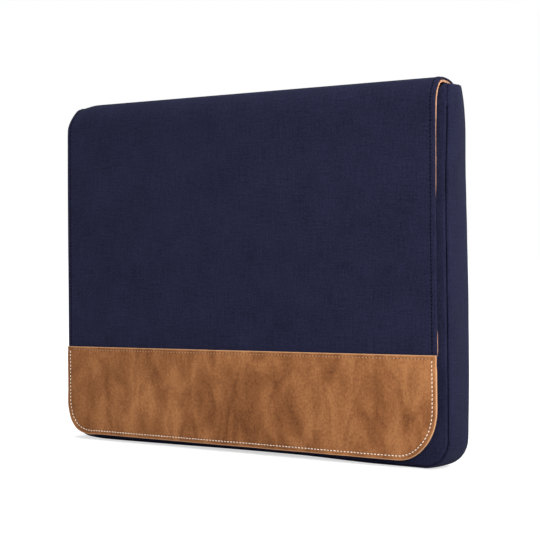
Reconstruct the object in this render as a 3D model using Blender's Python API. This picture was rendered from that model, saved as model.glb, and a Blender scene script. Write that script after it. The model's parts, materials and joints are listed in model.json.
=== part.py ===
"""Padded canvas laptop sleeve with a full-front flap and a leather band.

Metres, +Z up. The sleeve stands on its bottom gusset, with the flap's face towards -Y. The origin is at the
middle of the whole object's box, on the surface that the sleeve stands on.

The soft layers are plain sheets with a true thickness, nested a hair's breadth apart: canvas outside, foam,
then a plush lining. The flap's layers are each cut at its two fold lines, because each stretch turns on its own.
A row of stitching is one thin ribbon.
"""

from math import acos, cos, pi, sin

import bmesh
import bpy
from mathutils import Vector

# Driving dimensions
BODY_WIDTH = 0.336
BODY_HEIGHT = 0.253
BODY_CORNER = 0.024
DEPTH = 0.039
FLAP_WIDTH = 0.327
FLAP_CORNER = 0.022
FLAP_BOTTOM = 0.004
TOTAL_HEIGHT = 0.258
BAND_TOP = 0.0725
FRONT_EDGE = 0.245
CLEARANCE = 0.0003

# Thickness of each layer
CANVAS = 0.0012
FOAM = 0.0032
GUSSET_FOAM = 0.0026
LINING = 0.0008
STAY_TAPE = 0.0016
FLAP_CANVAS = 0.0009
INTERLINING = 0.0008
FLAP_LINING = 0.0012
BAND = 0.0012
PATCH = 0.0007
THREAD = 0.0004

# How far each layer's outer surface lies behind the canvas's outer surface
BEHIND_CANVAS = CANVAS + CLEARANCE
BEHIND_FOAM = BEHIND_CANVAS + FOAM + CLEARANCE
BEHIND_LINING = BEHIND_FOAM + LINING + CLEARANCE
INSIDE_GUSSET_FOAM = BEHIND_CANVAS + GUSSET_FOAM + CLEARANCE
BEHIND_FLAP_CANVAS = FLAP_CANVAS + CLEARANCE
BEHIND_INTERLINING = BEHIND_FLAP_CANVAS + INTERLINING + CLEARANCE
BEHIND_FLAP = BEHIND_INTERLINING + FLAP_LINING + CLEARANCE

# The band's and the flap's outer surfaces, then the body's front surface behind the closure patches
BAND_FACE = -DEPTH / 2 + THREAD + CLEARANCE
FLAP_FACE = BAND_FACE + BAND + CLEARANCE
FRONT_FACE = FLAP_FACE + BEHIND_FLAP + 2 * (PATCH + CLEARANCE)

# The back is fullest low down and draws in towards the mouth and the floor. Its last centimetre curls forward
# as well, where the flap pulls on it: CURL_POWER says how late that curl starts.
BACK_FULLEST = DEPTH / 2
FULLEST_HEIGHT = 0.110
DRAWN_IN_AT_MOUTH = 0.0062
CURLED_IN_AT_MOUTH = 0.0042
CURL_POWER = 14
DRAWN_IN_AT_FLOOR = 0.0025

# The fold over the mouth is a flat arch behind its crown and a deeper roll in front. A turn, in radians, says
# where along it a point lies: 0 at the crown, -SEAT_TURN on the body's back edge, pi / 2 where the face begins.
CROWN_Y = FLAP_FACE + 0.0115
FRONT_ROLL_HEIGHT = 0.019
BACK_ROLL_HEIGHT = 0.0085
SEAT_HEIGHT = BODY_HEIGHT + 0.0005
SEAT_TURN = acos(1 - (TOTAL_HEIGHT - SEAT_HEIGHT) / BACK_ROLL_HEIGHT)
TAIL_OUT = CLEARANCE + FLAP_CANVAS
MOUTH_Y = BACK_FULLEST - DRAWN_IN_AT_MOUTH - CURLED_IN_AT_MOUTH
BACK_ROLL_DEPTH = (MOUTH_Y + TAIL_OUT - CROWN_Y) / sin(SEAT_TURN)
PIVOT_TURN = pi / 4
PIVOT_GAP = CLEARANCE / 2 / FRONT_ROLL_HEIGHT
TAIL_LAP = 0.018

# Foam and lining stop short of the canvas hem
FOAM_TOP = 0.2445
INTERLINING_INSET = 0.004

# Closure patches, in pairs
PATCH_WIDTH = 0.050
PATCH_HEIGHT = 0.020
PATCH_X = 0.095
PATCH_Z = 0.040

# Stitching, by how far each row lies from the edge that it holds down
ROW_WIDTH = 0.0008
ROW_INSET = 0.0036
BAND_TOP_ROW = 0.0025
TAIL_ROWS = (0.006, 0.015)

CORNER_STEPS = 8
ROLL_STEPS = 8
BACK_STEPS = 16
REACH = 0.05

NAVY = (0.026, 0.030, 0.070)
NAVY_LINING = (0.030, 0.033, 0.052)
NAVY_THREAD = (0.015, 0.018, 0.045)
TAN = (0.30, 0.125, 0.050)
TAN_EDGE = (0.45, 0.22, 0.11)
TAN_THREAD = (0.32, 0.17, 0.09)
CREAM = (0.72, 0.62, 0.48)
CHARCOAL = (0.03, 0.03, 0.035)


def clear_scene():
    for obj in list(bpy.data.objects):
        bpy.data.objects.remove(obj, do_unlink=True)


def new_collection(name, hidden=False):
    collection = bpy.data.collections.new(name)
    bpy.context.scene.collection.children.link(collection)
    collection.hide_render = hidden
    return collection


def material(name, colour, roughness):
    mat = bpy.data.materials.new(name)
    mat.use_nodes = True
    shader = mat.node_tree.nodes["Principled BSDF"]
    shader.inputs["Base Color"].default_value = (*colour, 1)
    shader.inputs["Roughness"].default_value = roughness
    shader.inputs["Metallic"].default_value = 0
    return mat


def extruded(name, points, low, high, along):
    """A closed outline extruded from low to high. Along Y the outline is in X and Z, along X it is in Y and Z."""
    curve = bpy.data.curves.new(name, "CURVE")
    curve.dimensions = "2D"
    curve.fill_mode = "BOTH"
    curve.extrude = (high - low) / 2
    spline = curve.splines.new("POLY")
    spline.points.add(len(points) - 1)
    for place, (across, up) in zip(spline.points, points):
        place.co = (across, up, 0, 1)
    spline.use_cyclic_u = True
    guide = bpy.data.objects.new(name + "_outline", curve)
    middle = (low + high) / 2
    guide.location = (middle, 0, 0) if along == "X" else (0, middle, 0)
    guide.rotation_euler = (pi / 2, 0, pi / 2 if along == "X" else 0)
    bpy.context.scene.collection.objects.link(guide)
    bpy.context.view_layer.update()
    mesh = bpy.data.meshes.new_from_object(guide.evaluated_get(bpy.context.evaluated_depsgraph_get()))
    mesh.transform(guide.matrix_world)
    bpy.data.objects.remove(guide, do_unlink=True)
    weld = bmesh.new()
    weld.from_mesh(mesh)
    bmesh.ops.remove_doubles(weld, verts=weld.verts, dist=1e-6)
    bmesh.ops.recalc_face_normals(weld, faces=weld.faces)
    weld.to_mesh(mesh)
    weld.free()
    mesh.materials.clear()
    return bpy.data.objects.new(name, mesh)


def add_piece(obj, mat, fold=None):
    """Puts a piece in the sleeve's collection, hung from its fold's empty if it moves."""
    obj.data.materials.append(mat)
    SLEEVE.objects.link(obj)
    if fold:
        obj.data.transform(fold.matrix_world.inverted())
        obj.parent = fold
    return obj


def cut(obj, cutter, operation="INTERSECT"):
    cutter.display_type = "WIRE"
    cutter.hide_render = True
    CUTTERS.objects.link(cutter)
    modifier = obj.modifiers.new(operation.title(), "BOOLEAN")
    modifier.operation = operation
    modifier.solver = "EXACT"
    modifier.object = cutter


def sheet_outline(half_width, bottom, top, corner):
    """Points (x, z) round a sheet whose two bottom corners are round."""
    turns = [step / CORNER_STEPS * pi / 2 for step in range(CORNER_STEPS + 1)]
    middle_x, middle_z = half_width - corner, bottom + corner
    left = [(-middle_x - corner * cos(turn), middle_z - corner * sin(turn)) for turn in turns]
    right = [(middle_x + corner * sin(turn), middle_z - corner * cos(turn)) for turn in turns]
    return [(half_width, top), (-half_width, top), *left, *right]


def body_outline(inset, top):
    return sheet_outline(BODY_WIDTH / 2 - inset, inset, top, BODY_CORNER - inset)


def flap_outline(inset, top):
    return sheet_outline(FLAP_WIDTH / 2 - inset, FLAP_BOTTOM + inset, top, FLAP_CORNER - inset)


def between(outside, inside):
    """The U-shaped strip between two such outlines, open at the top."""
    return outside[1:] + outside[:1] + inside[:1] + inside[:0:-1]


def rectangle(low_x, high_x, low_z, high_z):
    return [(low_x, low_z), (high_x, low_z), (high_x, high_z), (low_x, high_z)]


def back_y(height):
    """The back's outer surface at a height."""
    if height > FULLEST_HEIGHT:
        rise = (height - FULLEST_HEIGHT) / (BODY_HEIGHT - FULLEST_HEIGHT)
        return BACK_FULLEST - DRAWN_IN_AT_MOUTH * rise**2 - CURLED_IN_AT_MOUTH * rise**CURL_POWER
    drop = (FULLEST_HEIGHT - height) / FULLEST_HEIGHT
    return BACK_FULLEST - DRAWN_IN_AT_FLOOR * drop**2


def back_line(inset, low, high):
    """Points (y, z) up the back, inset from its outer surface, closer together where it curls at the top."""
    shares = [sin(step / BACK_STEPS * pi / 2) for step in range(BACK_STEPS + 1)]
    heights = [low + (high - low) * share for share in shares]
    return [(back_y(height) - inset, height) for height in heights]


def back_layer(inset, thickness, low, high):
    return back_line(inset, low, high) + back_line(inset + thickness, low, high)[::-1]


def flat_piece(name, outline, front, thickness, mat, fold=None):
    return add_piece(extruded(name, outline, front, front + thickness, "Y"), mat, fold)


def back_sheet(name, inset, thickness, edge_inset, top, mat):
    """A sheet that follows the back, with round bottom corners."""
    half_width = BODY_WIDTH / 2 - edge_inset
    obj = extruded(name, back_layer(inset, thickness, edge_inset, top), -half_width, half_width, "X")
    corners = body_outline(edge_inset, BODY_HEIGHT + REACH)
    cut(obj, extruded(name + "_corners", corners, -REACH, REACH, "Y"))
    return add_piece(obj, mat)


def back_strip(name, inset, thickness, low, high, half_width, mat):
    """A level strip on the back, or inside it."""
    return add_piece(extruded(name, back_layer(inset, thickness, low, high), -half_width, half_width, "X"), mat)


def gusset_layer(name, inset, thickness, behind, top, mat):
    """A U-shaped layer of the gusset, between the sheets that lie in front of it and behind it."""
    strip = between(body_outline(inset, top), body_outline(inset + thickness, top))
    obj = extruded(name, strip, -REACH, REACH, "Y")
    front = [(FRONT_FACE + behind, BODY_HEIGHT + REACH), (FRONT_FACE + behind, -REACH)]
    below, above = (back_y(0) - behind, -REACH), (MOUTH_Y - behind, BODY_HEIGHT + REACH)
    space = [*front, below, *back_line(behind, 0, BODY_HEIGHT), above]
    half_width = BODY_WIDTH / 2 + REACH
    cut(obj, extruded(name + "_space", space, -half_width, half_width, "X"))
    return add_piece(obj, mat)


def roll_point(turn):
    """A point (y, z) on the fold's outer surface."""
    deep, high = (CROWN_Y - FLAP_FACE, FRONT_ROLL_HEIGHT) if turn > 0 else (BACK_ROLL_DEPTH, BACK_ROLL_HEIGHT)
    return Vector((CROWN_Y - deep * sin(turn), TOTAL_HEIGHT - high * (1 - cos(turn))))


def roll_line(start, end, inset):
    """Points (y, z) along the fold between two turns, inset from its outer surface."""
    points = []
    for step in range(ROLL_STEPS + 1):
        turn = start + (end - start) * step / ROLL_STEPS
        along = roll_point(turn + 1e-3) - roll_point(turn - 1e-3)
        inward = Vector((-along.y, along.x)).normalized()
        points.append(tuple(roll_point(turn) + inward * inset))
    return points


def fold_layer(name, inset, thickness, half_width, mat, fold):
    """A layer of the fold, from its seat on the body's back edge to the front pivot."""
    lines = [roll_line(-SEAT_TURN, PIVOT_TURN - PIVOT_GAP, depth) for depth in (inset, inset + thickness)]
    obj = extruded(name, lines[0] + lines[1][::-1], -half_width, half_width, "X")
    seat = rectangle(CROWN_Y, REACH, -REACH, SEAT_HEIGHT)
    cut(obj, extruded(name + "_seat", seat, -FLAP_WIDTH, FLAP_WIDTH, "X"), "DIFFERENCE")
    return add_piece(obj, mat, fold)


def face_layer(name, inset, thickness, edge_inset, mat, fold):
    """A layer of the flap's front: the rest of the roll, then the flat face down to its round corners."""
    lines = []
    for depth in (inset, inset + thickness):
        lines.append(roll_line(PIVOT_TURN + PIVOT_GAP, pi / 2, depth) + [(FLAP_FACE + depth, -REACH)])
    half_width = FLAP_WIDTH / 2 - edge_inset
    obj = extruded(name, lines[0] + lines[1][::-1], -half_width, half_width, "X")
    corners = flap_outline(edge_inset, TOTAL_HEIGHT + REACH)
    cut(obj, extruded(name + "_corners", corners, -REACH, REACH, "Y"))
    return add_piece(obj, mat, fold)


def fold_axis(name, place, parent=None):
    """An empty on a fold line, which runs along X."""
    empty = bpy.data.objects.new(name, None)
    empty.empty_display_size = TAIL_LAP
    empty.location = Vector((0, *place)) - (parent.location if parent else Vector())
    empty.parent = parent
    SLEEVE.objects.link(empty)
    bpy.context.view_layer.update()
    return empty


def closure_patches(name, front, mat, fold=None):
    for side, hand in ((-1, "left"), (1, "right")):
        middle = side * PATCH_X
        width, height = PATCH_WIDTH / 2, PATCH_HEIGHT / 2
        outline = rectangle(middle - width, middle + width, PATCH_Z - height, PATCH_Z + height)
        flat_piece(f"{name}_{hand}", outline, front, PATCH, mat, fold)


def build_body():
    canvas = material("canvas", NAVY, 0.85)
    foam = material("foam", CHARCOAL, 0.95)
    lining = material("plush_lining", NAVY_LINING, 0.95)

    flat_piece("front_panel", body_outline(0, FRONT_EDGE), FRONT_FACE, CANVAS, canvas)
    flat_piece("front_foam", body_outline(BEHIND_CANVAS, FOAM_TOP), FRONT_FACE + BEHIND_CANVAS, FOAM, foam)
    front_lining = body_outline(INSIDE_GUSSET_FOAM, FOAM_TOP)
    flat_piece("front_lining", front_lining, FRONT_FACE + BEHIND_FOAM, LINING, lining)

    back_sheet("back_panel", 0, CANVAS, 0, BODY_HEIGHT, canvas)
    back_sheet("back_foam", BEHIND_CANVAS, FOAM, BEHIND_CANVAS, FOAM_TOP, foam)
    back_sheet("back_lining", BEHIND_FOAM, LINING, INSIDE_GUSSET_FOAM, BODY_HEIGHT, lining)
    tape = material("stay_tape", CHARCOAL, 0.8)
    tape_low = FOAM_TOP + CLEARANCE
    tape_half = BODY_WIDTH / 2 - INSIDE_GUSSET_FOAM
    back_strip("back_stay_tape", BEHIND_CANVAS, STAY_TAPE, tape_low, BODY_HEIGHT, tape_half, tape)

    gusset_layer("gusset_canvas", 0, CANVAS, BEHIND_CANVAS, BODY_HEIGHT, canvas)
    gusset_layer("gusset_foam", BEHIND_CANVAS, GUSSET_FOAM, BEHIND_FOAM, FOAM_TOP, foam)
    gusset_layer("gusset_lining", INSIDE_GUSSET_FOAM, LINING, BEHIND_LINING, FOAM_TOP, lining)
    closure_patches("hook_patch", FRONT_FACE - CLEARANCE - PATCH, material("hook_tape", CHARCOAL, 0.7))


def build_tail():
    """The flap's tail is lapped over the top of the back and sewn down with two rows."""
    half_width = FLAP_WIDTH / 2
    low = BODY_HEIGHT - TAIL_LAP
    tail_canvas = material("tail_canvas", NAVY, 0.85)
    back_strip("flap_tail", -TAIL_OUT, FLAP_CANVAS, low, BODY_HEIGHT, half_width, tail_canvas)
    thread = material("tail_thread", NAVY_THREAD, 0.6)
    row_out = -TAIL_OUT - CLEARANCE - THREAD
    row_half = half_width - ROW_INSET
    for name, below in zip(("upper", "lower"), TAIL_ROWS):
        row_top = BODY_HEIGHT - below
        row_low = row_top - ROW_WIDTH
        back_strip(f"tail_thread_{name}", row_out, THREAD, row_low, row_top, row_half, thread)


def build_flap():
    canvas = material("flap_canvas", NAVY, 0.85)
    fleece = material("interlining", CREAM, 0.9)
    suede = material("flap_lining", TAN_EDGE, 0.8)
    half_width = FLAP_WIDTH / 2
    back_fold = fold_axis("flap_back_fold", roll_point(-SEAT_TURN))
    front_fold = fold_axis("flap_front_fold", roll_point(PIVOT_TURN), back_fold)

    fleece_half = half_width - INTERLINING_INSET
    fold_layer("fold_canvas", 0, FLAP_CANVAS, half_width, canvas, back_fold)
    fold_layer("fold_interlining", BEHIND_FLAP_CANVAS, INTERLINING, fleece_half, fleece, back_fold)
    fold_layer("fold_lining", BEHIND_INTERLINING, FLAP_LINING, half_width, suede, back_fold)

    face_layer("flap_canvas", 0, FLAP_CANVAS, 0, canvas, front_fold)
    face_layer("flap_interlining", BEHIND_FLAP_CANVAS, INTERLINING, INTERLINING_INSET, fleece, front_fold)
    face_layer("flap_lining", BEHIND_INTERLINING, FLAP_LINING, 0, suede, front_fold)
    leather = material("band_leather", TAN, 0.75)
    flat_piece("leather_band", flap_outline(0, BAND_TOP), BAND_FACE, BAND, leather, front_fold)
    closure_patches("loop_patch", FLAP_FACE + BEHIND_FLAP, material("loop_tape", CHARCOAL, 0.95), front_fold)
    build_flap_rows(front_fold)


def build_flap_rows(fold):
    """Rows of stitching: round the band, along its top edge, and up each side of the canvas."""
    cream = material("band_thread", CREAM, 0.6)
    row_end = BAND_TOP - BAND_TOP_ROW + ROW_WIDTH
    outside, inside = (flap_outline(ROW_INSET + width, row_end) for width in (0, ROW_WIDTH))
    flat_piece("band_thread", between(outside, inside), -DEPTH / 2, THREAD, cream, fold)

    tan = material("band_top_thread", TAN_THREAD, 0.6)
    row_inner = FLAP_WIDTH / 2 - ROW_INSET - ROW_WIDTH
    top_half = row_inner - ROW_WIDTH
    top_row = rectangle(-top_half, top_half, row_end - ROW_WIDTH, row_end)
    flat_piece("band_top_thread", top_row, -DEPTH / 2, THREAD, tan, fold)

    navy = material("flap_thread", NAVY_THREAD, 0.6)
    row_low, row_high = BAND_TOP + ROW_WIDTH, TOTAL_HEIGHT - FRONT_ROLL_HEIGHT
    for side, hand in ((-1, "left"), (1, "right")):
        edges = sorted((side * row_inner, side * (row_inner + ROW_WIDTH)))
        front = FLAP_FACE - CLEARANCE - THREAD
        flat_piece(f"flap_thread_{hand}", rectangle(*edges, row_low, row_high), front, THREAD, navy, fold)


clear_scene()
SLEEVE = new_collection("laptop_sleeve")
CUTTERS = new_collection("cutters", hidden=True)
build_body()
build_tail()
build_flap()
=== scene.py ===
"""Looks of the padded canvas laptop sleeve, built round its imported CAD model.

Metres, in the CAD's own frame: +X to the right as seen from the flap, -Y out of the flap's face, +Z up.
Every fabric layer is a grid laid on one of four surfaces: the front, the back, the gusset, and the flap,
which runs from its tail on the back, over the mouth and down the front. Texture coordinates are metres along
the cloth, so that the weave bends with it.
"""

import json
from math import acos, cos, exp, pi, radians, sin

import bpy
import numpy as np
from mathutils import Euler, Matrix, Vector, noise


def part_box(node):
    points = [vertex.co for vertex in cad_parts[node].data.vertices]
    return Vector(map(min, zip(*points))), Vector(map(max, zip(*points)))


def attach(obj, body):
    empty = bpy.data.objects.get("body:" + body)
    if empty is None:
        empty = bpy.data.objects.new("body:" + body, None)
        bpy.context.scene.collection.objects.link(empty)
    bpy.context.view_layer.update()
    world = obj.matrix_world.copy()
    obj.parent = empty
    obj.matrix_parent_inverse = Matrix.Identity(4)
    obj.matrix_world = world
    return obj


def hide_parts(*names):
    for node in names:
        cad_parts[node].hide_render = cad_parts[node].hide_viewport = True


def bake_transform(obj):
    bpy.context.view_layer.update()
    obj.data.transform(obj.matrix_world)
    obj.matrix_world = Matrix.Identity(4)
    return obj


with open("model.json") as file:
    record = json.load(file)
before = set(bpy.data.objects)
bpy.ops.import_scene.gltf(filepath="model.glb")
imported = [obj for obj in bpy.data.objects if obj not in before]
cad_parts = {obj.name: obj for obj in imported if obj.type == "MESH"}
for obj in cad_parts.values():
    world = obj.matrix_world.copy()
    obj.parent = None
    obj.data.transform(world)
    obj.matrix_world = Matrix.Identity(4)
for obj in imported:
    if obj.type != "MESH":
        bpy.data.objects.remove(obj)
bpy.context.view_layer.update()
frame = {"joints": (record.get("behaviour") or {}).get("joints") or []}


# -------- sizes, from the frame

def lowest(node):
    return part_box(node)[0]


def highest(node):
    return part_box(node)[1]


BACK_AXIS = next(Vector(joint["pos_m"]) for joint in frame["joints"] if joint["name"] == "flap_back_fold")

HALF_BODY = highest("back_panel").x
BODY_TOP = highest("back_panel").z
FRONT_Y = lowest("front_panel").y
FRONT_TOP = highest("front_panel").z
BACK_FULLEST = highest("back_panel").y
HALF_FLAP = highest("flap_canvas").x
FLAP_Y = lowest("flap_canvas").y
FLAP_LOW = lowest("flap_canvas").z
FOLD_TOP = highest("fold_canvas").z
BAND_OUT = lowest("leather_band").y - FLAP_Y
BAND_HEIGHT = highest("leather_band").z - FLAP_LOW
TAIL_LOW = lowest("flap_tail").z
LINING_TOP = highest("front_lining").z

# The back's line, as in the CAD
FULLEST_HEIGHT = 0.110
DRAWN_IN_AT_MOUTH = 0.0062
CURLED_IN_AT_MOUTH = 0.0042
CURL_POWER = 14
DRAWN_IN_AT_FLOOR = 0.0025

# The fold over the mouth, as in the CAD
CROWN_Y = FLAP_Y + 0.0115
FRONT_ROLL_HEIGHT = 0.019
BACK_ROLL_HEIGHT = 0.0085
SEAT_TURN = acos(1 - (FOLD_TOP - BACK_AXIS.z) / BACK_ROLL_HEIGHT)
BACK_ROLL_DEPTH = (BACK_AXIS.y - CROWN_Y) / sin(SEAT_TURN)

# Outlines: the seam to the back turns a tighter corner than the seam to the front
VISUAL_HALF = HALF_BODY + 0.0003
FRONT_CORNER = 0.0198
BACK_CORNER = 0.0185
FLAP_CORNER = (0.030, 0.034)  # width and height
FRONT_ROUND = 0.0012
LIP = 0.0011
LIP_REACH = LIP * (1 + 2 ** 0.5)
LIP_END = radians(130)
HEM_ROLL = 0.0010
HEM_DEEP = 0.0095
TURNED_EDGE = 0.0010
TURNED_END = radians(112)

# How the sleeve has settled and worn
FLOOR_GAP = 0.0005
SEAM_BOW = 0.0012
SPREAD_LOW = 0.0013
SPREAD_HIGH = 0.0010
BODY_WORN = Vector((0.0062, 0, -0.0026))
BODY_TUCKED = 0.0020
FLAP_WORN = Vector((0.0040, 0, -0.0022))
FLAP_CORNER_PUSH = 0.0046
FLAP_LIFT = 0.0006
SKEW_HEIGHTS = (0.0, BAND_HEIGHT, 0.16)
SKEW = (0.0004, 0.0023, 0.0)

# How far the gusset and the back stand out of their seams
SIDE_SWELL = 0.0011
FLOOR_SWELL = 0.0005
BACK_CROWN = 0.0016

# Thicknesses, and depths behind the outer canvas's face
CANVAS = 0.0006
BAND = 0.0011
SUEDE = 0.0013
SUEDE_DEPTH = 0.0021
FLEECE = 0.0007
FLEECE_DEPTH = 0.0008
FOAM_DEPTH = 0.0012
WALL_FOAM = 0.0028
GUSSET_FOAM = 0.0024
PLUSH = 0.0007
WALL_PLUSH_DEPTH = 0.0043
GUSSET_PLUSH_DEPTH = 0.0040
STAY_TAPE = 0.0004
STAY_TAPE_DEPTH = 0.0009

# Stitching: each row's distance from its edge, and the stitches' pitch along the flap's sides
BAND_ROW = 0.0029
BAND_TOP_ROW = 0.0024
SIDE_ROW = 0.0034
HEM_ROW = 0.0080
TAIL_ROW = 0.003
SIDE_PITCH = 0.0026


# -------- small helpers

def ease(low, high, value):
    share = min(1.0, max(0.0, (value - low) / (high - low)))
    return share * share * (3 - 2 * share)


def ripple(x, y, size, seed):
    """Smooth noise from about -1 to 1 on a plane, with features of that size."""
    return noise.noise(Vector((x / size, y / size, seed * 7.31)))


def spread(low, high, step):
    count = max(1, round(abs(high - low) / step))
    return [low + (high - low) * i / count for i in range(count + 1)]


# -------- meshes

def add_mesh(name, points, faces, uvs, edges=None):
    mesh = bpy.data.meshes.new(name)
    mesh.from_pydata([tuple(p) for p in points], [], faces)
    layer = mesh.uv_layers.new(name="Cloth")
    index = np.empty(len(mesh.loops), np.int32)
    mesh.loops.foreach_get("vertex_index", index)
    layer.data.foreach_set("uv", np.asarray(uvs, np.float32)[index].ravel())
    if edges is not None:
        attribute = mesh.attributes.new("from_edge", "FLOAT", "POINT")
        attribute.data.foreach_set("value", np.asarray(edges, np.float32))
    mesh.polygons.foreach_set("use_smooth", [True] * len(mesh.polygons))
    mesh.update()
    obj = bpy.data.objects.new(name, mesh)
    bpy.context.scene.collection.objects.link(obj)
    return obj


def thicken(obj, thickness):
    """Gives a sheet its thickness behind its outer face."""
    modifier = obj.modifiers.new("Thickness", "SOLIDIFY")
    modifier.thickness = thickness
    modifier.offset = -1
    return obj


def finish_piece(obj, slot, *nodes):
    if nodes:
        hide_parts(*nodes)
    return obj


def sheet_grid(half_width, rows, rings, columns, corner=None):
    """A sheet as (spots, faces). A spot is (x, height, inset, drop): inset is its distance from the side, and
    drop how far it lies behind the sheet's face. rows are (height, drop) from the top down, and rings
    (inset, drop) from the edge inwards. With a corner, as (width, height), it goes on round two corners to an
    edge at height 0."""
    left = [("side", height, drop) for height, drop in rows]
    if corner:
        left += [("arc", pi / 2 * i / 16, 0.0) for i in range(1, 17)]
    shares = [i / columns for i in range(columns + 1)]
    wide, high = corner or (0.0, 0.0)
    inner = half_width - wide

    def at(station, inset, side):
        kind, value, drop = station
        if kind == "side":
            return side * (half_width - inset), value, drop
        return side * (inner + (wide - inset) * cos(value)), high - (high - inset) * sin(value), drop

    spots, faces, loops = [], [], []

    def add(new):
        first = len(spots)
        spots.extend(new)
        return list(range(first, len(spots)))

    for inset, drop in rings:
        left_end, right_end = ([at(station, inset, side) for station in left] for side in (-1, 1))
        tip = [(inner * (2 * share - 1), inset, 0.0) for share in shares[1:-1]] if corner else []
        ends = (left_end, tip, right_end)
        loops.append([add((x, height, inset, drop + more) for x, height, more in end) for end in ends])

    for (left_a, tip_a, right_a), (left_b, tip_b, right_b) in zip(loops, loops[1:]):
        if corner:
            chains = [(left_a + tip_a + right_a[::-1], left_b + tip_b + right_b[::-1])]
        else:
            chains = [(left_a, left_b), (right_a[::-1], right_b[::-1])]
        for outer, nearer in chains:
            for i in range(len(outer) - 1):
                faces.append((outer[i], outer[i + 1], nearer[i + 1], nearer[i]))

    last_left, last_tip, last_right = loops[-1]
    grid = []
    for i, station in enumerate(left):
        if corner and i == len(left) - 1:
            grid.append([last_left[i], *last_tip, last_right[i]])
            continue
        x_left, height, _, drop = spots[last_left[i]]
        x_right = spots[last_right[i]][0]
        from_end = max(height, 0.0) if corner else half_width
        line = [last_left[i]]
        for share in shares[1:-1]:
            x = x_left + (x_right - x_left) * share
            line.append(len(spots))
            spots.append((x, height, min(half_width - abs(x), from_end), drop))
        grid.append(line + [last_right[i]])
    for above, below in zip(grid, grid[1:]):
        for i in range(columns):
            faces.append((above[i], below[i], below[i + 1], above[i + 1]))
    return spots, faces


def laid_sheet(name, grid, place, look, *nodes, flip=False):
    """The grid's spots put where place(x, height, inset, drop) says. look is (thickness, material, slot)."""
    thickness, material, slot = look
    spots, faces = grid
    if flip:
        faces = [face[::-1] for face in faces]
    points = [place(*spot) for spot in spots]
    uvs = [(spot[0] + 1.0, spot[1] + 1.0) for spot in spots]
    obj = add_mesh(name, points, faces, uvs, [spot[2] for spot in spots])
    obj.data.materials.append(material)
    return finish_piece(thicken(obj, thickness), slot, *nodes)


def flat(values):
    """Rows or rings at these distances, on the sheet's face."""
    return [(value, 0.0) for value in values]


def lip_turn():
    """(reach, drop) round a lip that rolls over into a seam, from inside outwards."""
    turns = [LIP_END * (1 - i / 7) for i in range(8)]
    return [(LIP_REACH - LIP * sin(turn), LIP - LIP * cos(turn)) for turn in turns]


def lip_rings():
    """Rings (inset, drop) of a panel whose edge rolls over into a seam."""
    return lip_turn() + flat((LIP_REACH + 0.0006, 0.0045, 0.007, 0.011))


def hem_turn(top):
    """Rows (height, drop) up the inside of a hem and over its top."""
    inside = [(top - down, 2 * HEM_ROLL) for down in (HEM_DEEP, HEM_DEEP - 0.0004, HEM_DEEP * 0.5)]
    turns = [pi * (1 - i / 8) for i in range(9)]
    low = top - HEM_ROLL
    return inside + [(low + HEM_ROLL * sin(turn), HEM_ROLL - HEM_ROLL * cos(turn)) for turn in turns]


def hem_rows(top, down_to):
    """Rows (height, drop) of a hem and on down the outside, as far as down_to."""
    return hem_turn(top) + flat(spread(top - HEM_ROLL - 0.002, down_to, 0.006))


# -------- the body's surfaces

def settled(x, y, height):
    """A point of the body as it stands: its bottom seam bows up off the floor between its corners, its right
    side spreads, its left top corner is worn down and its left bottom corner is tucked up."""
    lift = FLOOR_GAP + SEAM_BOW * ease(-0.14, 0.03, x) * (1 - ease(0.045, 0.115, x))
    lift *= 1 - ease(0.0, 0.06, height)
    spread_out = SPREAD_LOW * (1 - ease(0.04, 0.19, height)) + SPREAD_HIGH * ease(0.19, 0.235, height)
    spread_out *= ease(0.10, HALF_BODY, x)
    worn = ease(0.226, BODY_TOP, height) * (1 - ease(-HALF_BODY, -HALF_BODY + 0.034, x))
    tucked = (1 - ease(0.0, 0.022, height)) * (1 - ease(-HALF_BODY, -HALF_BODY + 0.036, x))
    return Vector((x + spread_out, y, height + lift + BODY_TUCKED * tucked)) + BODY_WORN * worn


def back_y(height):
    height = min(height, BODY_TOP)
    if height > FULLEST_HEIGHT:
        rise = (height - FULLEST_HEIGHT) / (BODY_TOP - FULLEST_HEIGHT)
        return BACK_FULLEST - DRAWN_IN_AT_MOUTH * rise ** 2 - CURLED_IN_AT_MOUTH * rise ** CURL_POWER
    return BACK_FULLEST - DRAWN_IN_AT_FLOOR * ((FULLEST_HEIGHT - height) / FULLEST_HEIGHT) ** 2


def front_place(depth):
    """Where a spot of the front goes, depth behind its face."""
    def place(x, height, inset, drop):
        sink = 0.0004 * ease(0.0, 0.03, inset) * (1 + ripple(x, height, 0.06, 1))
        sink += FRONT_ROUND * (1 - min(1.0, inset / 0.012)) ** 2
        rise = (BODY_TOP - 0.0006 - FRONT_TOP - 0.0015) * ease(0.1595, 0.1648, abs(x))
        height += (0.0015 + rise) * ease(FRONT_TOP - 0.016, FRONT_TOP, height)
        return settled(x, FRONT_Y + depth + drop + sink, height)
    return place


def back_place(depth):
    """Where a spot of the back goes, depth inside its face, which is a little crowned between its seams."""
    def place(x, height, inset, drop):
        crown = BACK_CROWN * ease(0.002, 0.05, min(inset, height))
        crown *= 1 - ease(BODY_TOP - 0.05, BODY_TOP, height)
        wave = 0.0005 * ripple(x, height, 0.07, 2) * ease(0.004, 0.03, inset)
        wave *= 1 - ease(0.20, 0.235, height)
        return settled(x, back_y(height) + crown + wave - depth - drop, height)
    return place


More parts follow.
